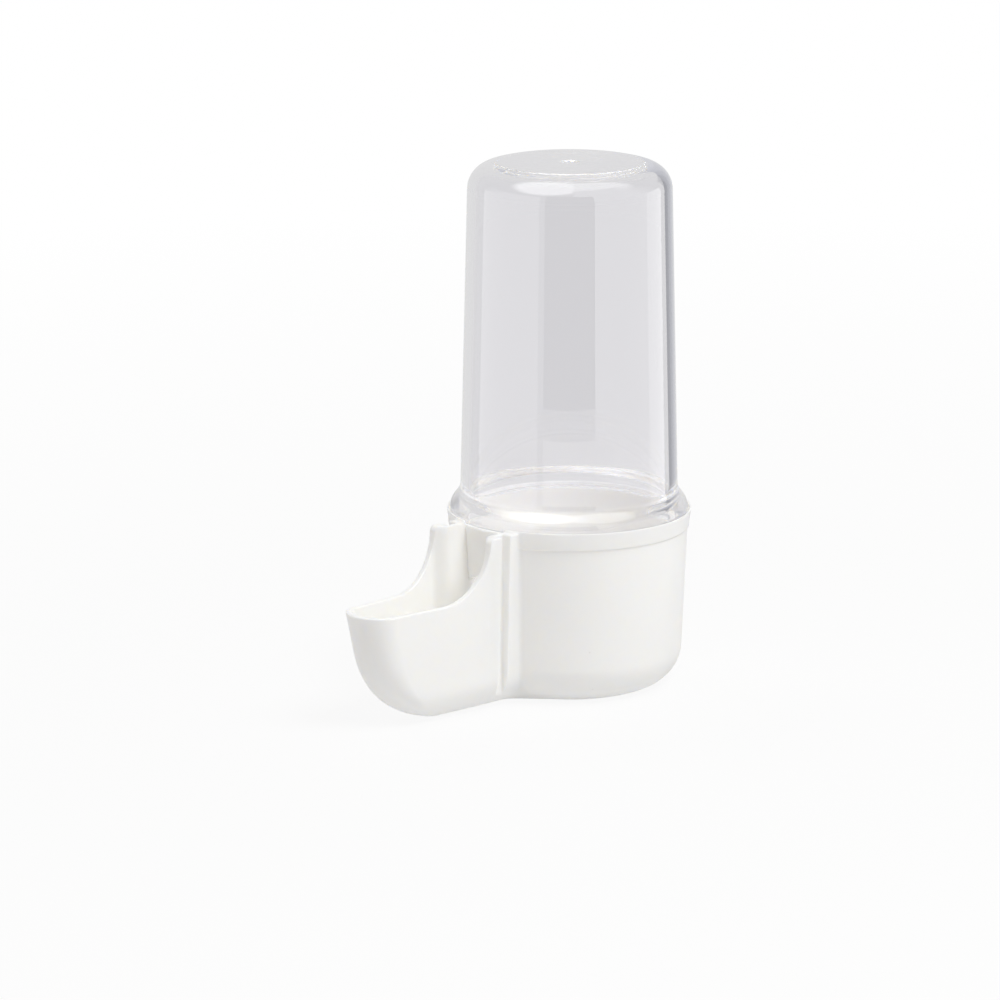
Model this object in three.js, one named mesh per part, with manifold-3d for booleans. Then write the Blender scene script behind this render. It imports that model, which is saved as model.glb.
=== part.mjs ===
// A siphon drinker for a bird cage: a clear reservoir bottle plugged mouth-down into a white base that
// carries the drinking spout. Millimetres, +Z up. The origin is the centre of the drum's flat underside,
// the bottle's axis is Z and the spout points along -Y.
import * as THREE from "three";
import { mergeVertices } from "three/addons/utils/BufferGeometryUtils.js";
import Module from "manifold-3d";

const wasm = await Module();
wasm.setup();

// Base: drum, collar and rim
const rimHeight = 40.3; // the rim above the underside
const rimRadius = 27.5; // the collar's outer radius at the rim
const collarHeight = 3.9;
const collarFlare = 0.45; // the collar is this much narrower at its lower edge
const collarStep = 0.3; // the collar stands this far out of the drum wall
const drumTaper = 1.25; // the drum narrows by this from the collar to its bottom rounding
const drumBottomRound = 8.6;
const drumWall = 1.5;
const drumFloor = 1.5;
const rimLip = 0.45; // thin upstand left outside the rebate
const rebateDepth = 1.2; // the ledge for the bottle's flange lies this far under the rim

// Base: spout and neck. Along the spout, the rib comes first, then the groove, the ear and the lip.
const ribLength = 1.35; // from the drum wall to the groove
const earLength = 3.4; // from the groove to the ear's front edge
const sweepLength = 12.5; // the lip sweeps up to the ears over this length
const spoutLength = 31.7; // from the ears' front edges to the tip
const lipHeight = 26.3;
const spoutWall = 1.4;
const neckHalfWidth = 9.9;
const noseHalfWidth = 7.5;
const noseLength = 6.4; // length of the round stretch at the tip
const taperPower = 1.35; // above 1 the spout's sides are hollow in plan
const sideDraft = 0.03; // the sides close in by this for each millimetre down from the rim
const frontLean = THREE.MathUtils.degToRad(13);
const bellyRound = 21.5; // round under the tip, seen from the side
const keelRound = 7.5; // round along the bottom, seen from the front
const keelHalfWidth = 1.2; // flat strip left along the bottom
const keelHeight = 0.2; // the bottom of the spout clears the floor by this
const earDrop = 0.5; // the ears end this far under the rim
const earRound = 1.2; // front corner of an ear

// Base: wire grooves on both sides of the neck, and the water window through the drum wall
const grooveWidth = 2.4;
const grooveDepth = 2.5;
const grooveWall = 1; // wall left behind and in front of a groove
const jogLength = 0.8; // the neck's inside widens to the spout over this length
const windowHalfWidth = 6;
const windowHeight = 28.3; // crown of the arch
const windowRise = 1.7; // the arch springs this far under its crown

// Bottle
const overallHeight = 118.8;
const flareSpread = 2.35; // the flange stands out this far from the foot of the bottle's wall
const bottleTaper = 1.55; // the bottle narrows by this from the flare to the shoulder
const bottleWall = 2;
const shoulderRound = 5.9;
const flareHeight = 6; // the flare's height above the rim
const skirtDepth = 20; // the mouth reaches this far under the rim
const skirtWall = 1.5;
const gateRadius = 2.2; // dimple left by the moulding gate on the bottle's top
const gateDepth = 0.4;

// Fits
const plugClearance = 0.3; // around the skirt in the drum, at its tightest
const seatClearance = 0.3; // under and around the flange in its rebate

// Smoothness
const roundSegments = 80;
const arcSteps = 8;
const bellySteps = 12;
const noseSteps = 8;
const sideSteps = 6;
const cutMargin = 2; // cutting solids pass a face by this

const white = new THREE.MeshStandardMaterial({ color: 0xf1f0ec, roughness: 0.42, metalness: 0 });
const clear = new THREE.MeshStandardMaterial({
  color: 0xe9ebf2,
  roughness: 0.06,
  metalness: 0,
  transparent: true,
  opacity: 0.3,
});

// A closed geometry as a solid that can be joined and cut.
function solidOf(geometry) {
  const bare = geometry.clone();
  bare.deleteAttribute("normal");
  bare.deleteAttribute("uv");
  const merged = mergeVertices(bare, 1e-4);
  const corners = merged.index.array;
  const kept = [];
  for (let i = 0; i < corners.length; i += 3) {
    const [a, b, c] = corners.slice(i, i + 3);
    if (a !== b && b !== c && c !== a) kept.push(a, b, c);
  }
  return new wasm.Manifold(
    new wasm.Mesh({
      numProp: 3,
      vertProperties: new Float32Array(merged.attributes.position.array),
      triVerts: new Uint32Array(kept),
    }),
  );
}

function meshOf(name, solid, material) {
  const { vertProperties, triVerts } = solid.getMesh();
  const geometry = new THREE.BufferGeometry();
  geometry.setAttribute("position", new THREE.BufferAttribute(vertProperties, 3));
  geometry.setIndex(new THREE.BufferAttribute(triVerts, 1));
  geometry.computeVertexNormals();
  const mesh = new THREE.Mesh(geometry, material);
  mesh.name = name;
  return mesh;
}

// Turns a profile of (radius, height) points round Z. The points climb the outside of the solid.
function revolve(points) {
  const geometry = new THREE.LatheGeometry(points, roundSegments);
  geometry.rotateX(Math.PI / 2);
  return solidOf(geometry);
}

// Joins closed rings of equal length, stacked upwards, and caps the two ends.
function loft(rings) {
  const count = rings[0].length;
  const positions = rings.flat().flatMap((point) => point.toArray());
  const index = [];
  for (let level = 0; level + 1 < rings.length; level += 1) {
    for (let i = 0; i < count; i += 1) {
      const a = level * count + i;
      const b = level * count + ((i + 1) % count);
      index.push(a, b, b + count, a, b + count, a + count);
    }
  }
  const last = (rings.length - 1) * count;
  const capOf = (ring) => THREE.ShapeUtils.triangulateShape(ring.map((p) => new THREE.Vector2(p.x, p.y)), []);
  for (const [a, b, c] of capOf(rings[0])) index.push(a, c, b);
  for (const [a, b, c] of capOf(rings.at(-1))) index.push(last + a, last + b, last + c);
  const geometry = new THREE.BufferGeometry();
  geometry.setAttribute("position", new THREE.Float32BufferAttribute(positions, 3));
  geometry.setIndex(index);
  return solidOf(geometry);
}

// Extrudes a shape drawn in (distance out along the spout, height), by halfWidth to both sides.
function extrudeAcross(shape, halfWidth) {
  const geometry = new THREE.ExtrudeGeometry(shape, {
    depth: 2 * halfWidth,
    bevelEnabled: false,
    curveSegments: 2 * arcSteps,
  });
  const out = new THREE.Vector3(0, -1, 0);
  const up = new THREE.Vector3(0, 0, 1);
  const across = new THREE.Vector3(-1, 0, 0);
  geometry.applyMatrix4(new THREE.Matrix4().makeBasis(out, up, across).setPosition(halfWidth, 0, 0));
  return solidOf(geometry);
}

// Points of an arc round (x, y) from one angle to another, in degrees.
function arc(x, y, radius, from, to, steps = arcSteps) {
  return Array.from({ length: steps + 1 }, (_, i) => {
    const angle = THREE.MathUtils.degToRad(from + ((to - from) * i) / steps);
    return new THREE.Vector2(x + radius * Math.cos(angle), y + radius * Math.sin(angle));
  });
}

const point = (x, y) => new THREE.Vector2(x, y);

// Radii and heights that the drum and the bottle share
const collarFoot = rimHeight - collarHeight;
const drumTopRadius = rimRadius - collarFlare - collarStep;
const drumFootRadius = drumTopRadius - drumTaper;
const drumSlope = drumTaper / (collarFoot - drumBottomRound);
const drumRadiusAt = (z) => drumFootRadius + drumSlope * (z - drumBottomRound);
const cupRadiusAt = (z) => drumRadiusAt(z) - drumWall;
const ledgeHeight = rimHeight - rebateDepth;
const rebateRadius = rimRadius - rimLip;

// The drum's foot: flat underside and bottom rounding, moved in by a wall where one is given.
function drumFoot(wall, floor) {
  const radius = drumFootRadius - wall;
  const round = drumBottomRound - floor;
  return [point(0, floor), ...arc(radius - round, drumBottomRound, round, -90, 0)];
}

const drum = revolve([
  ...drumFoot(0, 0),
  point(drumTopRadius, collarFoot),
  point(drumTopRadius + collarStep, collarFoot),
  point(rimRadius, rimHeight),
  point(0, rimHeight),
]);

// The drum without its collar, which is what stands between the ears.
const drumCore = revolve([
  ...drumFoot(0, 0),
  point(drumRadiusAt(rimHeight + cutMargin), rimHeight + cutMargin),
  point(0, rimHeight + cutMargin),
]);

const cup = revolve([
  ...drumFoot(drumWall, drumFloor),
  point(cupRadiusAt(ledgeHeight), ledgeHeight),
  point(rebateRadius, ledgeHeight),
  point(rebateRadius, rimHeight + cutMargin),
  point(0, rimHeight + cutMargin),
]);

// Distances out from the axis along the spout
const grooveReach = drumTopRadius + ribLength;
const earReach = grooveReach + grooveWidth + earLength;
const spoutReach = earReach + spoutLength;
const noseStart = spoutReach - noseLength;
const jogStart = grooveReach + grooveWidth + grooveWall;
const jogEnd = jogStart + jogLength;

// Spout: plan outlines at each height, stacked. An inset of the wall gives the trough inside it.
const bellyHeight = keelHeight + bellyRound;
const bellyReach =
  spoutReach -
  (lipHeight - bellyHeight) * Math.tan(frontLean) -
  bellyRound / Math.cos(frontLean);

function tipReach(z, inset) {
  const radius = bellyRound - inset;
  const tangentHeight = bellyHeight - radius * Math.sin(frontLean);
  if (z < tangentHeight) return bellyReach + Math.sqrt(Math.max(0, radius ** 2 - (bellyHeight - z) ** 2));
  return spoutReach - (lipHeight - z) * Math.tan(frontLean) - inset / Math.cos(frontLean);
}

const neckInside = neckHalfWidth - grooveDepth - grooveWall;

function outerHalfWidth(reach) {
  const share = THREE.MathUtils.clamp((noseStart - reach) / (noseStart - earReach), 0, 1);
  return noseHalfWidth + (neckHalfWidth - noseHalfWidth) * share ** taperPower;
}

function innerHalfWidth(reach) {
  const spread = THREE.MathUtils.clamp((reach - jogStart) / jogLength, 0, 1);
  return THREE.MathUtils.lerp(neckInside, outerHalfWidth(reach) - spoutWall, spread);
}

function spoutOutline(z, inset, halfWidth) {
  const keelTop = keelHeight + keelRound;
  const depth = THREE.MathUtils.clamp((keelTop - z) / (keelRound - inset), 0, 1);
  const swell = Math.sqrt(1 - depth ** 2);
  const halfWidthAt = (reach) => {
    const full = halfWidth(reach) - sideDraft * (rimHeight - z);
    return keelHalfWidth + (full - keelHalfWidth) * swell;
  };
  const length = (noseLength - inset) * (halfWidthAt(noseStart) / noseHalfWidth);
  const noseCentre = tipReach(z, inset) - length;
  const side = [0, jogStart, jogEnd].map((reach) => [reach, halfWidthAt(reach)]);
  for (let i = 0; i < sideSteps; i += 1) {
    const reach = THREE.MathUtils.lerp(earReach, noseCentre, i / sideSteps);
    side.push([reach, halfWidthAt(reach)]);
  }
  for (let i = 0; i < noseSteps; i += 1) {
    const angle = (Math.PI / 2) * (i / noseSteps);
    const reach = noseCentre + length * Math.sin(angle);
    side.push([reach, halfWidthAt(reach) * Math.cos(angle)]);
  }
  const near = side.map(([reach, width]) => new THREE.Vector3(-width, -reach, z));
  const tip = new THREE.Vector3(0, -noseCentre - length, z);
  const far = side.map(([reach, width]) => new THREE.Vector3(width, -reach, z)).reverse();
  return [...near, tip, ...far];
}

function spoutLoft(inset, halfWidth, top) {
  const heights = arc(0, bellyHeight, bellyRound - inset, -90, 0, bellySteps).map((p) => p.y);
  return loft([...heights, top].map((z) => spoutOutline(z, inset, halfWidth)));
}

// What lies under the lip: level along the spout, then sweeping up to the ears.
const earTop = rimHeight - earDrop;
const belowLip = new THREE.Shape();
belowLip.moveTo(0, -cutMargin);
belowLip.lineTo(spoutReach + cutMargin, -cutMargin);
belowLip.lineTo(spoutReach + cutMargin, lipHeight);
belowLip.lineTo(earReach + sweepLength, lipHeight);
belowLip.absellipse(
  earReach + sweepLength,
  earTop,
  sweepLength,
  earTop - lipHeight,
  -Math.PI / 2,
  -Math.PI + Math.asin(earRound / (earTop - lipHeight)),
  true,
);
belowLip.quadraticCurveTo(earReach, earTop, earReach - earRound, earTop);
belowLip.lineTo(0, earTop);

const underArch = new THREE.Shape();
const archRadius = (windowHalfWidth ** 2 + windowRise ** 2) / (2 * windowRise);
const archAngle = Math.asin(windowHalfWidth / archRadius);
underArch.moveTo(-windowHalfWidth, -cutMargin);
underArch.lineTo(windowHalfWidth, -cutMargin);
underArch.absarc(0, windowHeight - archRadius, archRadius, Math.PI / 2 - archAngle, Math.PI / 2 + archAngle);
const archGeometry = new THREE.ExtrudeGeometry(underArch, {
  depth: rimRadius,
  bevelEnabled: false,
  curveSegments: arcSteps,
});
archGeometry.rotateX(Math.PI / 2);

const outerSpout = spoutLoft(0, outerHalfWidth, rimHeight).intersect(
  extrudeAcross(belowLip, neckHalfWidth + cutMargin),
);
const trough = spoutLoft(spoutWall, innerHalfWidth, rimHeight + cutMargin);
const waterWindow = trough.intersect(solidOf(archGeometry));

function wireGroove(side) {
  const length = grooveDepth + cutMargin;
  const geometry = new THREE.BoxGeometry(length, grooveWidth, rimHeight + 2 * cutMargin);
  const middle = neckHalfWidth - grooveDepth + length / 2;
  geometry.translate(side * middle, -grooveReach - grooveWidth / 2, rimHeight / 2);
  return solidOf(geometry);
}

const base = drum
  .add(outerSpout)
  .subtract(trough.subtract(drumCore))
  .subtract(cup)
  .subtract(waterWindow)
  .subtract(wireGroove(1))
  .subtract(wireGroove(-1));

// Bottle: one wall turned round the axis, open at the mouth
const flangeFoot = ledgeHeight + seatClearance;
const flangeRadius = rebateRadius - seatClearance;
const bottleFootRadius = flangeRadius - flareSpread;
const bottleTopRadius = bottleFootRadius - bottleTaper;
const mouthHeight = rimHeight - skirtDepth;
const skirtRadius = cupRadiusAt(mouthHeight) - plugClearance;
const boreRadius = skirtRadius - skirtWall;
const flareTop = rimHeight + flareHeight;
const shoulderFoot = overallHeight - shoulderRound;
const innerRound = shoulderRound - bottleWall;

const flare = new THREE.CubicBezierCurve(
  point(flangeRadius, rimHeight),
  point(flangeRadius, rimHeight + flareHeight / 2),
  point(bottleFootRadius, rimHeight + flareHeight / 2),
  point(bottleFootRadius, flareTop),
);

const bottle = revolve([
  point(boreRadius, mouthHeight),
  point(skirtRadius, mouthHeight),
  point(skirtRadius, flangeFoot),
  point(flangeRadius, flangeFoot),
  ...flare.getPoints(arcSteps),
  ...arc(bottleTopRadius - shoulderRound, shoulderFoot, shoulderRound, 0, 90),
  point(gateRadius, overallHeight),
  point(gateRadius - gateDepth, overallHeight - gateDepth),
  point(0, overallHeight - gateDepth),
  point(0, overallHeight - bottleWall),
  ...arc(bottleTopRadius - shoulderRound, shoulderFoot, innerRound, 90, 0),
  point(bottleFootRadius - bottleWall, flareTop),
  point(boreRadius, mouthHeight),
]);

const drinker = new THREE.Group();
drinker.add(meshOf("drinker_base", base, white));
drinker.add(meshOf("reservoir_bottle", bottle, clear));

export default drinker;
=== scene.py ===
# Looks of the bird drinker: a white moulded base and a clear reservoir bottle, both modelled finely over
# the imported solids, in a plain studio. Shapes are written in millimetres and made in metres.
import math

import bpy
import numpy as np
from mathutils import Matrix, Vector


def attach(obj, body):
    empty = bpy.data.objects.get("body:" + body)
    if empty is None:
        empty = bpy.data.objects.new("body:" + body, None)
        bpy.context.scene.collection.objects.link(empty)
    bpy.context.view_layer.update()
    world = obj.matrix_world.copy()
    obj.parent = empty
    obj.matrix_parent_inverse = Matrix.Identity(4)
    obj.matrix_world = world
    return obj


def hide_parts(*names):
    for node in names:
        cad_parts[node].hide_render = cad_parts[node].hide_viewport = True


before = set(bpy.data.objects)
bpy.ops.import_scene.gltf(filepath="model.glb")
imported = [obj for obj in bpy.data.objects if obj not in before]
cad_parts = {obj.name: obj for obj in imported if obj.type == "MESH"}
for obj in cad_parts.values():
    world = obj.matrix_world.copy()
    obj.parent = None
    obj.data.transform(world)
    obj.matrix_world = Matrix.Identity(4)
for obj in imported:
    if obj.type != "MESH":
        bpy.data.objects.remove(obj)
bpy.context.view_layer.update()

MM = 0.001

# Base: drum, collar and rim
RIM_HEIGHT = 40.3
RIM_RADIUS = 27.5
COLLAR_HEIGHT = 3.9
COLLAR_FLARE = 0.45
COLLAR_STEP = 0.3
DRUM_TAPER = 1.25
DRUM_BOTTOM_ROUND = 8.6
DRUM_WALL = 1.5
DRUM_FLOOR = 1.5
RIM_LIP = 0.45
REBATE_DEPTH = 1.2

# Base: spout and neck
RIB_LENGTH = 1.35
EAR_LENGTH = 3.4
SWEEP_LENGTH = 12.5
SPOUT_LENGTH = 31.7
LIP_HEIGHT = 26.3
SPOUT_WALL = 1.4
NECK_HALF_WIDTH = 9.9
NOSE_HALF_WIDTH = 7.5
NOSE_LENGTH = 6.4
TAPER_POWER = 1.35
SIDE_DRAFT = 0.03
FRONT_LEAN = math.radians(13)
BELLY_ROUND = 21.5
KEEL_ROUND = 7.5
KEEL_HALF_WIDTH = 1.2
KEEL_HEIGHT = 0.2
EAR_DROP = 0.5
EAR_ROUND = 1.2

# Base: wire grooves and water window
GROOVE_WIDTH = 2.4
GROOVE_DEPTH = 2.5
GROOVE_WALL = 1
JOG_LENGTH = 3.6
JOG_LEAD = 0.36
WINDOW_HEIGHT = 28.3
WINDOW_HALF_WIDTH = 6
WINDOW_RISE = 1.7

# Base: edge radii and fillets of the moulding
RIM_EDGE = 0.18
COLLAR_EDGE = 0.15
COLLAR_FILLET = 0.45
LIP_EDGE = 0.2
WALL_EDGE = 0.2
GROOVE_EDGE = 0.3
GROOVE_CORNER = 0.45
NECK_FILLET = 0.7
KEEL_FILLET = 3.0
KEEL_FILLET_TOP = 5

# Bottle
OVERALL_HEIGHT = 118.8
FLARE_SPREAD = 2.35
BOTTLE_TAPER = 1.55
BOTTLE_WALL = 2
SHOULDER_ROUND = 5.9
FLARE_HEIGHT = 6
SKIRT_DEPTH = 20
SKIRT_WALL = 1.5
MOUTH_TAPER = 7
MOUTH_WALL = 0.3
TOP_STEP = 0.25
GATE_RADIUS = 2.2
GATE_DEPTH = 0.4
PLUG_CLEARANCE = 0.3
SEAT_CLEARANCE = 0.3

# Bottle: bends and edge radii
BORE_BEND = 5
INNER_BEND = 8
MOUTH_EDGE = 0.1
STEP_EDGE = 0.1
FLANGE_CORNER = 0.3
FLANGE_EDGE = 0.25
GATE_EDGE = 0.3

# Plastics
WHITE = (1, 1, 1, 1)
WHITE_DARKER = (0.942, 0.937, 0.919, 1)
WHITE_LIGHTER = (0.96, 0.955, 0.938, 1)
WHITE_SPECK = (0.74, 0.71, 0.66, 1)
WHITE_IOR = 1.49
SCATTER_DEPTH = 0.0012
SCATTER_COLOUR = (1.0, 0.95, 0.85)
CLEAR_TINT = (0.962, 0.957, 0.975, 1)
CLEAR_SPECK = (0.55, 0.54, 0.56, 1)
CLEAR_IOR = 1.59
SPECK_CORE = 0.6

# Fineness
BASE_PITCH = 0.32
BLOCK = 4
NEAR_SURFACE = 3.5
STRETCH = 3
STRETCHED = 1.6
MARGIN = 1
FIRST_ROUNDS = 3
LAST_ROUNDS = 2
KEPT_FACES = 0.3
BOTTLE_SEGMENTS = 256
FLARE_STEPS = 28
SHOULDER_STEPS = 24
CORNER_STEPS = 6
TINY = 1e-9
SLOPE_STEP = 0.02
LEAST_SLOPE_SQUARED = 0.04
STEEPEST = 3
FAR_AWAY = 50
HULL_START = 12
HULL_REACH = 15

COLLAR_FOOT = RIM_HEIGHT - COLLAR_HEIGHT
DRUM_TOP_RADIUS = RIM_RADIUS - COLLAR_FLARE - COLLAR_STEP
DRUM_FOOT_RADIUS = DRUM_TOP_RADIUS - DRUM_TAPER
DRUM_SLOPE = DRUM_TAPER / (COLLAR_FOOT - DRUM_BOTTOM_ROUND)
LEDGE_HEIGHT = RIM_HEIGHT - REBATE_DEPTH
REBATE_RADIUS = RIM_RADIUS - RIM_LIP
GROOVE_REACH = DRUM_TOP_RADIUS + RIB_LENGTH
EAR_REACH = GROOVE_REACH + GROOVE_WIDTH + EAR_LENGTH
EAR_TOP = RIM_HEIGHT - EAR_DROP
SPOUT_REACH = EAR_REACH + SPOUT_LENGTH
NOSE_START = SPOUT_REACH - NOSE_LENGTH
JOG_START = GROOVE_REACH + GROOVE_WIDTH + GROOVE_WALL
NECK_INSIDE = NECK_HALF_WIDTH - GROOVE_DEPTH - GROOVE_WALL
BELLY_HEIGHT = KEEL_HEIGHT + BELLY_ROUND
BELLY_REACH = (
    SPOUT_REACH
    - (LIP_HEIGHT - BELLY_HEIGHT) * math.tan(FRONT_LEAN)
    - BELLY_ROUND / math.cos(FRONT_LEAN)
)
ARCH_RADIUS = (WINDOW_HALF_WIDTH**2 + WINDOW_RISE**2) / (2 * WINDOW_RISE)


# Fields: negative inside the plastic, positive outside, about as large as the distance to the surface

def round_max(a, b, radius):
    """What lies in both fields, with their shared edge rounded."""
    corner = np.hypot(np.maximum(a + radius, 0), np.maximum(b + radius, 0))
    return np.minimum(np.maximum(a, b), -radius) + corner


def round_min(a, b, radius):
    """What lies in either field, with a fillet where they meet."""
    return -round_max(-a, -b, radius)


def ellipse_field(x, y, half_x, half_y):
    near = np.hypot(x / half_x, y / half_y)
    steep = np.hypot(x / half_x**2, y / half_y**2)
    scale = np.where(steep > TINY, near / np.maximum(steep, TINY), half_x)
    return scale * (near - 1)


def smooth_step(low, high, value):
    share = np.clip((value - low) / (high - low), 0, 1)
    return share * share * (3 - 2 * share)


def drum_field(radius, z, wall=0, floor=0):
    side = radius - DRUM_FOOT_RADIUS - DRUM_SLOPE * (z - DRUM_BOTTOM_ROUND) + wall
    return round_max(side, floor - z, DRUM_BOTTOM_ROUND - floor)


def collared_drum_field(radius, z):
    flare = COLLAR_FLARE * (RIM_HEIGHT - z) / COLLAR_HEIGHT
    collar = round_max(radius - RIM_RADIUS + flare, COLLAR_FOOT - z, COLLAR_EDGE)
    body = round_min(drum_field(radius, z), collar, COLLAR_FILLET)
    return round_max(body, z - RIM_HEIGHT, RIM_EDGE)


def cup_field(radius, z):
    well = drum_field(radius, z, DRUM_WALL, DRUM_FLOOR)
    rebate = round_max(radius - REBATE_RADIUS, LEDGE_HEIGHT - z, COLLAR_EDGE)
    return round_min(well, rebate, RIM_EDGE)


def outer_half_width(reach):
    share = np.clip((NOSE_START - reach) / (NOSE_START - EAR_REACH), 0, 1)
    return NOSE_HALF_WIDTH + (NECK_HALF_WIDTH - NOSE_HALF_WIDTH) * share**TAPER_POWER


def inner_half_width(reach):
    spread = smooth_step(JOG_START - JOG_LEAD, JOG_START + JOG_LENGTH, reach)
    return NECK_INSIDE + (outer_half_width(reach) - SPOUT_WALL - NECK_INSIDE) * spread


def tip_reach(z, inset):
    radius = BELLY_ROUND - inset
    below = BELLY_REACH + np.sqrt(np.maximum(radius**2 - (BELLY_HEIGHT - z) ** 2, 0))
    above = SPOUT_REACH - (LIP_HEIGHT - z) * math.tan(FRONT_LEAN) - inset / math.cos(FRONT_LEAN)
    return np.where(z < BELLY_HEIGHT - radius * math.sin(FRONT_LEAN), below, above)


def hull_side(across, out, z, inset, half_width):
    """How far a point lies outside the spout's outline at its own height."""
    depth = np.clip((KEEL_HEIGHT + KEEL_ROUND - z) / (KEEL_ROUND - inset), 0, 1)
    swell = np.sqrt(1 - depth**2)

    def width_at(reach):
        full = half_width(reach) - SIDE_DRAFT * (RIM_HEIGHT - z)
        return KEEL_HALF_WIDTH + (full - KEEL_HALF_WIDTH) * swell

    length = (NOSE_LENGTH - inset) * width_at(NOSE_START) / NOSE_HALF_WIDTH
    tip = tip_reach(z, inset)
    beyond = np.maximum(out - tip + length, 0)
    return ellipse_field(across, beyond, width_at(np.minimum(out, tip)), length)


def hull_field(across, out, z, inset, half_width):
    """The spout's boat shape, or with an inset the trough inside it. It starts inside the drum."""
    field = np.full_like(across, FAR_AWAY)
    near = (out > HULL_START) & (across < HULL_REACH)
    across, out, z = across[near], out[near], z[near]
    side = hull_side(across, out, z, inset, half_width)
    climb = (hull_side(across, out, z + SLOPE_STEP, inset, half_width) - side) / SLOPE_STEP
    side = side / np.minimum(np.hypot(1, climb), STEEPEST)
    field[near] = np.maximum(side, KEEL_HEIGHT + inset - z)
    return field


def under_lip_field(out, z):
    sweep_end = EAR_REACH + SWEEP_LENGTH
    bowl = ellipse_field(out - sweep_end, z - EAR_TOP, SWEEP_LENGTH, EAR_TOP - LIP_HEIGHT)
    scoop = np.where(out > sweep_end, LIP_HEIGHT - z, bowl)
    return round_max(z - EAR_TOP, -scoop, EAR_ROUND)


def base_field(x, y, z):
    across = np.abs(x)
    out = -y
    radius = np.hypot(x, y)
    hull = hull_field(across, out, z, 0, outer_half_width)
    inside = hull_field(across, out, z, SPOUT_WALL, inner_half_width)
    spout = round_max(hull, under_lip_field(out, z), LIP_EDGE)
    fillet = NECK_FILLET + (KEEL_FILLET - NECK_FILLET) * smooth_step(KEEL_FILLET_TOP, 0, z)
    solid = np.maximum(round_min(collared_drum_field(radius, z), spout, fillet), -z)
    arch_middle = WINDOW_HEIGHT - ARCH_RADIUS
    arch = np.hypot(across, np.maximum(z - arch_middle, 0)) - ARCH_RADIUS
    wall = round_max(drum_field(radius, z), -arch, WALL_EDGE)
    trough = round_max(inside, -wall, WALL_EDGE)
    solid = round_max(solid, -np.minimum(trough, cup_field(radius, z)), WALL_EDGE)
    groove_middle = GROOVE_REACH + GROOVE_WIDTH / 2
    groove_floor = NECK_HALF_WIDTH - GROOVE_DEPTH - across
    groove = round_max(groove_floor, np.abs(out - groove_middle) - GROOVE_WIDTH / 2, GROOVE_CORNER)
    return round_max(solid, -groove, GROOVE_EDGE)


def unstretched(x, y, z):
    """From the grid's own places to real ones: the grid is finer across the thin rim."""
    radius = np.hypot(x, y)
    start = RIM_RADIUS - STRETCHED
    extra = np.clip(radius - start, 0, STRETCHED * STRETCH) * (1 - 1 / STRETCH)
    share = 1 - extra / np.maximum(radius, start)
    return x * share, y * share, z


def field_slope(field, points):
    """Value and gradient of a field at each point."""
    step = SLOPE_STEP
    corners = np.array([(1, -1, -1), (-1, -1, 1), (-1, 1, -1), (1, 1, 1)])
    values = [field(*(points + step * corner).T) for corner in corners]
    gradient = sum(value[:, None] * corner for value, corner in zip(values, corners)) / (4 * step)
    return sum(values) / 4, gradient


def settle(field, points, rounds):
    """Moves points onto the surface."""
    for _ in range(rounds):
        value, gradient = field_slope(field, points)
        squared = np.maximum((gradient**2).sum(1), LEAST_SLOPE_SQUARED)
        points = points - np.clip(value / squared, -BASE_PITCH, BASE_PITCH)[:, None] * gradient
    return points


def surface_of(field, low, high, pitch):
    """Vertices and quads of a field's surface: one vertex in each grid cell that the surface crosses."""
    shape = [math.ceil((b - a) / pitch) + 1 for a, b in zip(low, high)]
    axes = [a + pitch * np.arange(n) for a, n in zip(low, shape)]
    block_axes = [axis[::BLOCK] + pitch * (BLOCK - 1) / 2 for axis in axes]
    values = field(*np.meshgrid(*block_axes, indexing="ij"))
    for axis in range(3):
        values = values.repeat(BLOCK, axis)
    values = values[: shape[0], : shape[1], : shape[2]].copy()
    near = np.nonzero(np.abs(values) < NEAR_SURFACE)
    values[near] = field(*[axes[i][near[i]] for i in range(3)])

    inside = values < 0
    corners = [(i, j, k) for i in (0, 1) for j in (0, 1) for k in (0, 1)]
    cells = [n - 1 for n in shape]

    def shifted(grid, corner):
        return grid[tuple(slice(c, c + n) for c, n in zip(corner, cells))]

    count = sum(shifted(inside, corner).astype(np.int8) for corner in corners)
    cell = np.nonzero((count > 0) & (count < len(corners)))
    total = np.zeros((len(cell[0]), 3))
    crossings = np.zeros(len(cell[0]))
    for axis in range(3):
        for start in corners:
            if start[axis]:
                continue
            end = tuple(c + (i == axis) for i, c in enumerate(start))
            first = shifted(values, start)[cell]
            last = shifted(values, end)[cell]
            crossed = (first < 0) != (last < 0)
            share = np.where(crossed, first / np.where(crossed, first - last, 1), 0)
            for i in range(3):
                along = start[i] + (share if i == axis else 0)
                total[:, i] += crossed * along
            crossings += crossed
    vertices = np.stack(cell, 1) + total / crossings[:, None]
    vertices = np.array(low) + pitch * vertices

    number = np.full(cells, -1)
    number[cell] = np.arange(len(cell[0]))
    quads = []
    for axis in range(3):
        ahead = tuple(int(i == axis) for i in range(3))
        here = inside[tuple(slice(0, n - a) for n, a in zip(shape, ahead))]
        there = inside[tuple(slice(a, n) for n, a in zip(shape, ahead))]
        for leaving in (True, False):
            edge = np.stack(np.nonzero((here & ~there) if leaving else (there & ~here)), 1)
            u = np.eye(3, dtype=int)[(axis + 1) % 3]
            v = np.eye(3, dtype=int)[(axis + 2) % 3]
            loop = [edge, edge - u, edge - u - v, edge - v]
            ring = np.stack([number[tuple(c.T)] for c in loop], 1)
            quads.append(ring if leaving else ring[:, ::-1])
    return vertices, np.concatenate(quads)


def mesh_from(name, vertices, faces):
    mesh = bpy.data.meshes.new(name)
    mesh.from_pydata((vertices * MM).tolist(), [], faces.tolist())
    mesh.validate()
    mesh.update()
    return mesh


def shown(name, mesh):
    piece = bpy.data.objects.new(name, mesh)
    bpy.context.scene.collection.objects.link(piece)
    return piece


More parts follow.
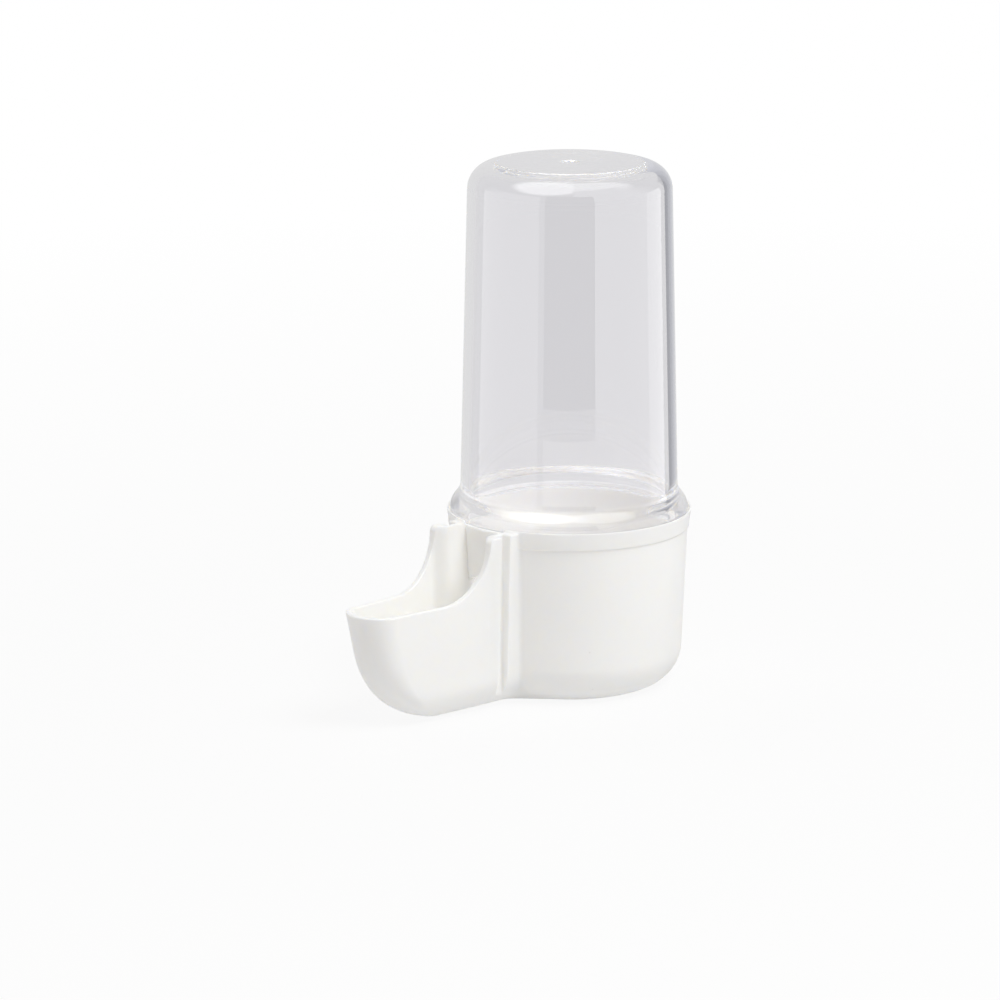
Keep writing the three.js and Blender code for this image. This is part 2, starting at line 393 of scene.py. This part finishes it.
def applied(piece):
    """Bakes a piece's modifiers into its mesh."""
    graph = bpy.context.evaluated_depsgraph_get()
    mesh = bpy.data.meshes.new_from_object(piece.evaluated_get(graph))
    piece.modifiers.clear()
    piece.data = mesh


def mesh_points(mesh):
    flat = np.empty(len(mesh.vertices) * 3)
    mesh.vertices.foreach_get("co", flat)
    return flat.reshape(-1, 3) / MM


def make_base():
    margin = MARGIN + STRETCHED * (STRETCH - 1)
    low = (-RIM_RADIUS - margin, -SPOUT_REACH - margin, -MARGIN)
    high = (RIM_RADIUS + margin, RIM_RADIUS + margin, RIM_HEIGHT + MARGIN)
    vertices, quads = surface_of(lambda *place: base_field(*unstretched(*place)), low, high, BASE_PITCH)
    vertices = settle(base_field, np.stack(unstretched(*vertices.T), 1), FIRST_ROUNDS)
    piece = shown("white_base", mesh_from("white_base", vertices, quads))
    thin = piece.modifiers.new("fewer_faces", "DECIMATE")
    thin.ratio = KEPT_FACES
    applied(piece)
    mesh = piece.data
    points = settle(base_field, mesh_points(mesh), LAST_ROUNDS)
    mesh.vertices.foreach_set("co", (points * MM).ravel())
    _, gradient = field_slope(base_field, points)
    normals = gradient / np.linalg.norm(gradient, axis=1)[:, None]
    mesh.polygons.foreach_set("use_smooth", np.ones(len(mesh.polygons), bool))
    mesh.normals_split_custom_set_from_vertices(normals.tolist())
    mesh.update()
    return piece


# Bottle: one profile turned round the axis

def arc_points(middle, start, end, radius, steps):
    angles = np.radians(np.linspace(start, end, steps + 1))
    return [(middle[0] + radius * math.cos(a), middle[1] + radius * math.sin(a)) for a in angles]


def rounded_corner(before, corner, after, radius):
    """Points of a fillet in a profile's corner."""
    corner = Vector(corner)
    back = (Vector(before) - corner).normalized()
    ahead = (Vector(after) - corner).normalized()
    half = back.angle(ahead) / 2
    middle = corner + (back + ahead).normalized() * (radius / math.sin(half))
    first = corner + back * (radius / math.tan(half)) - middle
    last = corner + ahead * (radius / math.tan(half)) - middle
    turn = first.angle_signed(last)
    start = math.atan2(first.y, first.x)
    angles = [start - turn * i / CORNER_STEPS for i in range(CORNER_STEPS + 1)]
    return [(middle.x + radius * math.cos(a), middle.y + radius * math.sin(a)) for a in angles]


def bezier_points(a, b, c, d, steps):
    share = np.linspace(0, 1, steps + 1)[:, None]
    a, b, c, d = (np.array(p) for p in (a, b, c, d))
    left = 1 - share
    curve = left**3 * a + 3 * left**2 * share * b + 3 * left * share**2 * c + share**3 * d
    return [tuple(p) for p in curve]


def bottle_profile():
    flange_foot = LEDGE_HEIGHT + SEAT_CLEARANCE
    flange_radius = REBATE_RADIUS - SEAT_CLEARANCE
    foot_radius = flange_radius - FLARE_SPREAD
    top_radius = foot_radius - BOTTLE_TAPER
    mouth = RIM_HEIGHT - SKIRT_DEPTH
    skirt_radius = DRUM_FOOT_RADIUS + DRUM_SLOPE * (mouth - DRUM_BOTTOM_ROUND) - DRUM_WALL - PLUG_CLEARANCE
    bore_radius = skirt_radius - SKIRT_WALL
    flare_top = RIM_HEIGHT + FLARE_HEIGHT
    shoulder_top = OVERALL_HEIGHT - TOP_STEP
    shoulder_foot = shoulder_top - SHOULDER_ROUND
    shoulder_middle = (top_radius - SHOULDER_ROUND, shoulder_foot)
    inner_round = SHOULDER_ROUND - BOTTLE_WALL
    step_foot = (shoulder_middle[0] - TOP_STEP, shoulder_top)
    step_top = (step_foot[0] - TOP_STEP / 2, OVERALL_HEIGHT)
    middle_height = RIM_HEIGHT + FLARE_HEIGHT / 2
    bore = (bore_radius, mouth + MOUTH_TAPER)
    mouth_edge = (skirt_radius - MOUTH_WALL, mouth)
    skirt = (skirt_radius, mouth)
    skirt_top = (skirt_radius, flange_foot)
    flange = (flange_radius, flange_foot)
    rim = (flange_radius, RIM_HEIGHT)
    flare_start = (flange_radius, middle_height)
    flare_end = (foot_radius, middle_height)
    inner_foot = (foot_radius - BOTTLE_WALL, flare_top)
    top = [(GATE_RADIUS, OVERALL_HEIGHT), (GATE_RADIUS - GATE_DEPTH, OVERALL_HEIGHT - GATE_DEPTH)]
    return [
        *rounded_corner(inner_foot, bore, mouth_edge, BORE_BEND),
        *rounded_corner(bore, mouth_edge, skirt, MOUTH_EDGE),
        *rounded_corner(mouth_edge, skirt, skirt_top, MOUTH_EDGE),
        *rounded_corner(skirt, skirt_top, flange, FLANGE_CORNER),
        *rounded_corner(skirt_top, flange, rim, FLANGE_EDGE),
        *bezier_points(rim, flare_start, flare_end, (foot_radius, flare_top), FLARE_STEPS),
        *arc_points(shoulder_middle, 0, 90, SHOULDER_ROUND, SHOULDER_STEPS),
        *rounded_corner((foot_radius, shoulder_top), step_foot, step_top, STEP_EDGE),
        *rounded_corner(step_foot, step_top, top[0], STEP_EDGE),
        *rounded_corner(step_top, top[0], top[1], GATE_EDGE),
        *rounded_corner(top[0], top[1], (0, OVERALL_HEIGHT - GATE_DEPTH), GATE_EDGE),
        (0, OVERALL_HEIGHT - GATE_DEPTH),
        (0, shoulder_top - BOTTLE_WALL),
        *arc_points(shoulder_middle, 90, 0, inner_round, SHOULDER_STEPS),
        *rounded_corner((top_radius - BOTTLE_WALL, shoulder_foot), inner_foot, bore, INNER_BEND),
    ]


def turned(name, profile, segments):
    """A closed profile of (radius, height) points turned round Z."""
    angles = 2 * math.pi * np.arange(segments) / segments
    vertices = []
    rings = []
    for radius, height in profile:
        first = len(vertices)
        if radius < TINY:
            vertices.append((0, 0, height))
            rings.append([first] * segments)
            continue
        vertices += [(radius * math.cos(a), radius * math.sin(a), height) for a in angles]
        rings.append(list(range(first, first + segments)))
    faces = []
    for ring, following in zip(rings, rings[1:] + rings[:1]):
        for i in range(segments):
            j = (i + 1) % segments
            corners = list(dict.fromkeys((ring[i], ring[j], following[j], following[i])))
            if len(corners) > 2:
                faces.append(corners)
    mesh = bpy.data.meshes.new(name)
    mesh.from_pydata((np.array(vertices) * MM).tolist(), [], faces)
    mesh.update()
    mesh.shade_smooth()
    return mesh


# Materials

def new_material(name):
    material = bpy.data.materials.new(name)
    material.use_nodes = True
    tree = material.node_tree
    return material, tree, tree.nodes["Principled BSDF"]


def add_node(tree, kind, **settings):
    """A node with its settings, given as names of its inputs or of its own properties."""
    node = tree.nodes.new(kind)
    for key, value in settings.items():
        if key in node.inputs:
            node.inputs[key].default_value = value
        else:
            setattr(node, key, value)
    return node


def add_math(tree, operation, first, second):
    """An arithmetic step on two sockets or plain numbers."""
    node = add_node(tree, "ShaderNodeMath", operation=operation)
    for i, value in enumerate((first, second)):
        if isinstance(value, (int, float)):
            node.inputs[i].default_value = value
        else:
            tree.links.new(value, node.inputs[i])
    return node.outputs[0]


def add_range(tree, value, low, high, to_low, to_high):
    node = add_node(tree, "ShaderNodeMapRange")
    tree.links.new(value, node.inputs["Value"])
    node.inputs["From Min"].default_value = low
    node.inputs["From Max"].default_value = high
    node.inputs["To Min"].default_value = to_low
    node.inputs["To Max"].default_value = to_high
    return node.outputs["Result"]


def add_noise(tree, place, scale, detail):
    node = add_node(tree, "ShaderNodeTexNoise", Scale=scale, Detail=detail)
    tree.links.new(place, node.inputs["Vector"])
    return node.outputs["Fac"]


def add_specks(tree, place, scale, size, kept):
    """1 in small round specks, one in some of the cells of a random pattern, and 0 elsewhere."""
    cells = add_node(tree, "ShaderNodeTexVoronoi", Scale=scale)
    tree.links.new(place, cells.inputs["Vector"])
    shade = add_node(tree, "ShaderNodeSeparateColor")
    tree.links.new(cells.outputs["Color"], shade.inputs["Color"])
    dot = add_range(tree, cells.outputs["Distance"], size * SPECK_CORE, size, 1, 0)
    chosen = add_math(tree, "LESS_THAN", shade.outputs["Red"], kept)
    return add_math(tree, "MULTIPLY", dot, chosen)


def add_mix(tree, share, first, second):
    """A colour between two colours or colour sockets."""
    node = add_node(tree, "ShaderNodeMix", data_type="RGBA")
    tree.links.new(share, node.inputs["Factor"])
    for socket, value in ((node.inputs[6], first), (node.inputs[7], second)):
        if isinstance(value, tuple):
            socket.default_value = value
        else:
            tree.links.new(value, socket)
    return node.outputs[2]


def add_bump(tree, height, strength, distance):
    node = add_node(tree, "ShaderNodeBump", Strength=strength, Distance=distance)
    tree.links.new(height, node.inputs["Height"])
    return node.outputs["Normal"]


def mixed(tree, share, first, second):
    """A shader between two shaders."""
    node = add_node(tree, "ShaderNodeMixShader")
    for socket, value in zip(node.inputs, (share, first.outputs[0], second.outputs[0])):
        tree.links.new(value, socket)
    return node


def cover(tree, shader):
    """Makes a shader the one that a material shows."""
    tree.links.new(shader.outputs[0], tree.nodes["Material Output"].inputs["Surface"])


def white_plastic():
    material, tree, shader = new_material("white_moulded_plastic")
    place = add_node(tree, "ShaderNodeTexCoord").outputs["Object"]
    clouds = add_noise(tree, place, scale=70, detail=3.0)
    grain = add_noise(tree, place, scale=2200, detail=2.0)
    specks = add_specks(tree, place, scale=150, size=0.022, kept=0.4)
    tone = add_range(tree, clouds, low=0.3, high=0.7, to_low=0, to_high=1)
    plain = add_mix(tree, tone, WHITE_DARKER, WHITE_LIGHTER)
    colour = add_mix(tree, specks, plain, WHITE_SPECK)
    tree.links.new(colour, shader.inputs["Base Color"])
    roughness = add_range(tree, grain, low=0.3, high=0.7, to_low=0.36, to_high=0.48)
    tree.links.new(roughness, shader.inputs["Roughness"])
    tree.links.new(add_bump(tree, grain, strength=0.05, distance=0.0001), shader.inputs["Normal"])
    shader.inputs["IOR"].default_value = WHITE_IOR
    shader.inputs["Subsurface Weight"].default_value = 1
    shader.inputs["Subsurface Radius"].default_value = SCATTER_COLOUR
    shader.inputs["Subsurface Scale"].default_value = SCATTER_DEPTH
    return material


def clear_plastic():
    material, tree, shader = new_material("clear_polished_plastic")
    place = add_node(tree, "ShaderNodeTexCoord").outputs["Object"]
    smears = add_noise(tree, place, scale=45, detail=4.0)
    specks = add_specks(tree, place, scale=110, size=0.02, kept=0.3)
    colour = add_mix(tree, specks, CLEAR_TINT, CLEAR_SPECK)
    tree.links.new(colour, shader.inputs["Base Color"])
    roughness = add_range(tree, smears, low=0.35, high=0.75, to_low=0, to_high=0.03)
    tree.links.new(roughness, shader.inputs["Roughness"])
    shader.inputs["Transmission Weight"].default_value = 1
    shader.inputs["IOR"].default_value = CLEAR_IOR
    path = add_node(tree, "ShaderNodeLightPath")
    lit = add_math(tree, "MAXIMUM", path.outputs["Is Shadow Ray"], path.outputs["Is Diffuse Ray"])
    open_side = add_node(tree, "ShaderNodeBsdfTransparent", Color=WHITE)
    cover(tree, mixed(tree, lit, shader, open_side))
    return material


base = make_base()
base.data.materials.append(white_plastic())
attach(base, "base")
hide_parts("drinker_base")

bottle = shown("clear_bottle", turned("clear_bottle", bottle_profile(), BOTTLE_SEGMENTS))
bottle.data.materials.append(clear_plastic())
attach(bottle, "bottle")
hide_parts("reservoir_bottle")

# Camera
AZIMUTH = math.radians(45)
ELEVATION = math.radians(13.3)
CAMERA_DISTANCE = 1.2
AIM_LEFT = 0.01553
AIM_UP = 0.00128
LENS = 191.9
SENSOR_WIDTH = 36
CLIP_START = 0.05
CLIP_END = 30
RIM_CENTRE = Vector((0, 0, RIM_HEIGHT * MM))
facing = Vector((math.sin(AZIMUTH), -math.cos(AZIMUTH), 0))
toward = facing * math.cos(ELEVATION) + Vector((0, 0, math.sin(ELEVATION)))
right = Vector((math.cos(AZIMUTH), math.sin(AZIMUTH), 0))
up = toward.cross(right)
aim = RIM_CENTRE - right * AIM_LEFT + up * AIM_UP
camera_data = bpy.data.cameras.new("camera")
camera_data.lens = LENS
camera_data.sensor_width = SENSOR_WIDTH
camera_data.clip_start = CLIP_START
camera_data.clip_end = CLIP_END
camera = bpy.data.objects.new("camera", camera_data)
bpy.context.scene.collection.objects.link(camera)
camera.location = RIM_CENTRE + toward * CAMERA_DISTANCE
camera.rotation_mode = "QUATERNION"
camera.rotation_quaternion = (aim - camera.location).to_track_quat("-Z", "Y")
bpy.context.scene.camera = camera


# Studio: lamps light the plastics, and cards close round the object are what the gloss and the clear walls
# mirror. Angles are degrees to the right of the camera, and lengths are metres.
FLOOR_HALF = 6
FLOOR_GREY = 0.6
FLOOR_GLOW = 0.86
THROUGH_GLASS = 0.73
IN_GLOSS = 0.78
TABLE_LIGHT = 0.21
GLOW_START = 0.12
GLOW_END = 0.6
AMBIENT = 0.46
AMBIENT_COLOUR = (1.0, 0.965, 0.962)
LAMP_COLOUR = (0.975, 1.0, 0.985)
LAMP_DISTANCE = 1.0
LAMP_SIZE = 0.5
CARD_DISTANCE = 0.18
CARD_TURN = 5
CARD_TOP = 0.15
STANDING = (0, CARD_TOP)
FRONT = (-26, 26)
LEFT = (-32, -106)
GAP_FOOT = 0.042
FADE_FOOT = 0.034
HIGH_GAP_TOP = 0.21
HIGH_LEFT_TOP = 0.19
HIGH_TOP = 0.35
GAP_LIGHT = 0.1
CARD_LIGHT = 1.7
HIGH_LIGHT = 1.8
OVERHEAD_DISTANCE = 0.3
OVERHEAD_SIDES = 48
OVERHEAD_CORE = 0.7
EDGE_CARD_DISTANCE = 0.1
EDGE_WALLS = 2.5
EDGE_LEVELS = (0.28, 0.38, 0.45, 0.52, 0.58)
EDGE_TINT = (1, 1.02, 1.12)
EDGE_START = 128
EDGE_TURN = 9
SLANT_START = 0.173
SLANT_END = 0.178
TOP_START = 0.163
TOP_END = 0.168
SHOULDER_MIDDLE = 0.116


def white_for_lookers(tree):
    """1 for rays of the camera and those sent on by gloss and glass, and how white they see the studio."""
    path = add_node(tree, "ShaderNodeLightPath")
    mirrored = path.outputs["Is Glossy Ray"]
    through = path.outputs["Is Transmission Ray"]
    direct = add_math(tree, "MAXIMUM", path.outputs["Is Camera Ray"], mirrored)
    share = add_math(tree, "MAXIMUM", direct, through)
    in_gloss = add_range(tree, mirrored, 0, 1, 1, IN_GLOSS)
    through_glass = add_range(tree, through, 0, 1, 1, THROUGH_GLASS)
    return share, add_math(tree, "MINIMUM", in_gloss, through_glass)


def make_world():
    world = bpy.data.worlds.new("studio")
    bpy.context.scene.world = world
    world.use_nodes = True
    tree = world.node_tree
    tree.nodes.clear()
    lighting = add_node(tree, "ShaderNodeBackground", Color=(*AMBIENT_COLOUR, 1), Strength=AMBIENT)
    seen = add_node(tree, "ShaderNodeBackground", Color=WHITE)
    out = add_node(tree, "ShaderNodeOutputWorld")
    share, white = white_for_lookers(tree)
    tree.links.new(white, seen.inputs["Strength"])
    tree.links.new(mixed(tree, share, lighting, seen).outputs[0], out.inputs["Surface"])


def make_floor():
    half = FLOOR_HALF
    corners = [(-half, -half, 0), (half, -half, 0), (half, half, 0), (-half, half, 0)]
    mesh = bpy.data.meshes.new("floor")
    mesh.from_pydata(corners, [], [(0, 1, 2, 3)])
    floor = shown("floor", mesh)
    material, tree, shader = new_material("floor")
    tree.nodes.remove(shader)
    place = add_node(tree, "ShaderNodeTexCoord").outputs["Object"]
    length = add_node(tree, "ShaderNodeVectorMath", operation="LENGTH")
    tree.links.new(place, length.inputs[0])
    glow = add_range(tree, length.outputs["Value"], GLOW_START, GLOW_END, FLOOR_GLOW, 1)
    diffuse = add_node(tree, "ShaderNodeBsdfDiffuse", Color=(FLOOR_GREY, FLOOR_GREY, FLOOR_GREY, 1))
    table = add_node(tree, "ShaderNodeEmission", Color=WHITE, Strength=TABLE_LIGHT)
    lit = add_node(tree, "ShaderNodeAddShader")
    tree.links.new(diffuse.outputs[0], lit.inputs[0])
    tree.links.new(table.outputs[0], lit.inputs[1])
    seen = add_node(tree, "ShaderNodeEmission", Color=WHITE)
    share, white = white_for_lookers(tree)
    tree.links.new(white, seen.inputs["Strength"])
    cover(tree, mixed(tree, add_math(tree, "MULTIPLY", share, glow), lit, seen))
    mesh.materials.append(material)


def around(angle, distance, height):
    """A place in the studio: degrees to the right of the camera, metres out from the object, metres up."""
    turn = math.radians(angle)
    ahead = facing * (distance * math.cos(turn))
    aside = right * (distance * math.sin(turn))
    return ahead + aside + Vector((0, 0, height))


def soft_box(name, angle, elevation, brightness):
    """A lamp that looks down at the object, and isn't mirrored in it."""
    light = bpy.data.lights.new(name, "AREA")
    light.shape = "SQUARE"
    light.size = LAMP_SIZE
    light.energy = brightness * math.pi * LAMP_SIZE * LAMP_SIZE
    light.color = LAMP_COLOUR
    lamp = bpy.data.objects.new(name, light)
    bpy.context.scene.collection.objects.link(lamp)
    climb = math.radians(elevation)
    lamp.location = around(angle, LAMP_DISTANCE * math.cos(climb), LAMP_DISTANCE * math.sin(climb))
    lamp.rotation_mode = "QUATERNION"
    lamp.rotation_quaternion = (-lamp.location).to_track_quat("-Z", "Y")
    lamp.visible_camera = False
    lamp.visible_glossy = False
    lamp.visible_transmission = False


def panel_of(name, points, faces, colour):
    """A card of the studio, which shines with its own colour, lights nothing and casts no shadow."""
    mesh = bpy.data.meshes.new(name)
    mesh.from_pydata(points, [], faces)
    panel = shown(name, mesh)
    material, tree, shader = new_material(name)
    tree.nodes.remove(shader)
    light = add_node(tree, "ShaderNodeEmission", Color=(*colour, 1))
    mesh.materials.append(material)
    panel.visible_camera = False
    panel.visible_diffuse = False
    panel.visible_shadow = False
    return panel, tree, light


def upright_card(name, distance, angles, heights, colour):
    """A curved card that stands between two angles."""
    start, end = angles
    steps = max(2, round(abs(end - start) / CARD_TURN))
    turns = [start + (end - start) * i / steps for i in range(steps + 1)]
    points = [around(turn, distance, height) for height in heights for turn in turns]
    count = steps + 1
    faces = [(i, i + 1, i + 1 + count, i + count) for i in range(steps)]
    return panel_of(name, points, faces, colour)


def see_past(tree, light, share):
    """Shows a card's light, with a share of it clear."""
    clear = add_node(tree, "ShaderNodeBsdfTransparent", Color=WHITE)
    cover(tree, mixed(tree, share, light, clear))


def mirrored_card(name, angles, heights, brightness):
    """A card seen in gloss only, and not in gloss at a slant, from where the way to it is longest."""
    grey = (brightness, brightness, brightness)
    panel, tree, light = upright_card(name, CARD_DISTANCE, angles, heights, grey)
    panel.visible_transmission = False
    way = add_node(tree, "ShaderNodeLightPath").outputs["Ray Length"]
    see_past(tree, light, add_range(tree, way, SLANT_START, SLANT_END, 0, 1))


def high_card(name, angles, heights, brightness):
    """A high card, seen in the gloss of the bottle's shoulder but not of its top, which is further off."""
    grey = (brightness, brightness, brightness)
    panel, tree, light = upright_card(name, CARD_DISTANCE, angles, heights, grey)
    panel.visible_transmission = False
    way = add_node(tree, "ShaderNodeLightPath").outputs["Ray Length"]
    place = add_node(tree, "ShaderNodeSeparateXYZ")
    tree.links.new(add_node(tree, "ShaderNodeTexCoord").outputs["Object"], place.inputs[0])
    climb = add_math(tree, "SUBTRACT", place.outputs["Z"], SHOULDER_MIDDLE)
    climb_squared = add_math(tree, "MULTIPLY", climb, climb)
    level_squared = add_math(tree, "SUBTRACT", add_math(tree, "MULTIPLY", way, way), climb_squared)
    see_past(tree, light, add_range(tree, level_squared, TOP_START**2, TOP_END**2, 0, 1))


def overhead_card(name, angle, elevation, radius, brightness):
    """A round card above the object that fades towards its edge, seen in gloss only."""
    climb = math.radians(elevation)
    above = Vector((0, 0, OVERALL_HEIGHT * MM))
    ahead = around(angle, math.cos(climb), math.sin(climb))
    side = ahead.cross(Vector((0, 0, 1))).normalized()
    over = side.cross(ahead)
    turns = [2 * math.pi * i / OVERHEAD_SIDES for i in range(OVERHEAD_SIDES)]
    points = [radius * (side * math.cos(turn) + over * math.sin(turn)) for turn in turns]
    grey = (brightness, brightness, brightness)
    panel, tree, light = panel_of(name, points, [range(OVERHEAD_SIDES)], grey)
    panel.location = above + ahead * OVERHEAD_DISTANCE
    panel.visible_transmission = False
    length = add_node(tree, "ShaderNodeVectorMath", operation="LENGTH")
    tree.links.new(add_node(tree, "ShaderNodeTexCoord").outputs["Object"], length.inputs[0])
    see_past(tree, light, add_range(tree, length.outputs["Value"], radius * OVERHEAD_CORE, radius, 0, 1))


def edge_card(name, angles, heights, colour):
    """A card seen only at the bottle's edges, where light turns back inside its wall."""
    panel, tree, light = upright_card(name, EDGE_CARD_DISTANCE, angles, heights, colour)
    panel.visible_glossy = False
    walls = add_node(tree, "ShaderNodeLightPath").outputs["Transmission Depth"]
    see_past(tree, light, add_math(tree, "GREATER_THAN", walls, EDGE_WALLS))


make_world()
make_floor()
soft_box("key_lamp", angle=52, elevation=57, brightness=7.4)
soft_box("back_lamp", angle=-135, elevation=35, brightness=2.4)
mirrored_card("front_gap", FRONT, (GAP_FOOT, CARD_TOP), GAP_LIGHT)
mirrored_card("front_fade", FRONT, (FADE_FOOT, GAP_FOOT), brightness=0.9)
mirrored_card("front_low_card", FRONT, (0, FADE_FOOT), CARD_LIGHT)
high_card("high_gap", FRONT, (CARD_TOP, HIGH_GAP_TOP), GAP_LIGHT)
high_card("high_front_card", (4, FRONT[1]), (HIGH_GAP_TOP, HIGH_TOP), HIGH_LIGHT)
high_card("high_right_card", (FRONT[1], 110), (CARD_TOP, HIGH_TOP), HIGH_LIGHT)
high_card("high_left_card", LEFT, (CARD_TOP, HIGH_LEFT_TOP), CARD_LIGHT)
overhead_card("overhead_left_card", angle=-40, elevation=62, radius=0.21, brightness=4.4)
overhead_card("overhead_right_card", angle=50, elevation=58, radius=0.2, brightness=3.2)
mirrored_card("right_card", (FRONT[1], 90), STANDING, CARD_LIGHT)
mirrored_card("right_far_card", (90, 116), STANDING, brightness=2.3)
mirrored_card("left_fade", (FRONT[0], LEFT[0]), STANDING, brightness=1.0)
mirrored_card("left_card", LEFT, STANDING, CARD_LIGHT)
for i, level in enumerate(EDGE_LEVELS):
    start = EDGE_START + EDGE_TURN * i
    colour = [level * share for share in EDGE_TINT]
    edge_card(f"edge_card_{i}", (start, start + EDGE_TURN), STANDING, colour)

# Light runs round inside the clear flange many times before it leaves
LONGEST_PATH = 400
DIFFUSE_BOUNCES = 16
CLEAR_LAYERS = 16
scene = bpy.context.scene
scene.view_settings.view_transform = "Standard"
scene.cycles.max_bounces = LONGEST_PATH
scene.cycles.diffuse_bounces = DIFFUSE_BOUNCES
scene.cycles.glossy_bounces = LONGEST_PATH
scene.cycles.transmission_bounces = LONGEST_PATH
scene.cycles.transparent_max_bounces = CLEAR_LAYERS
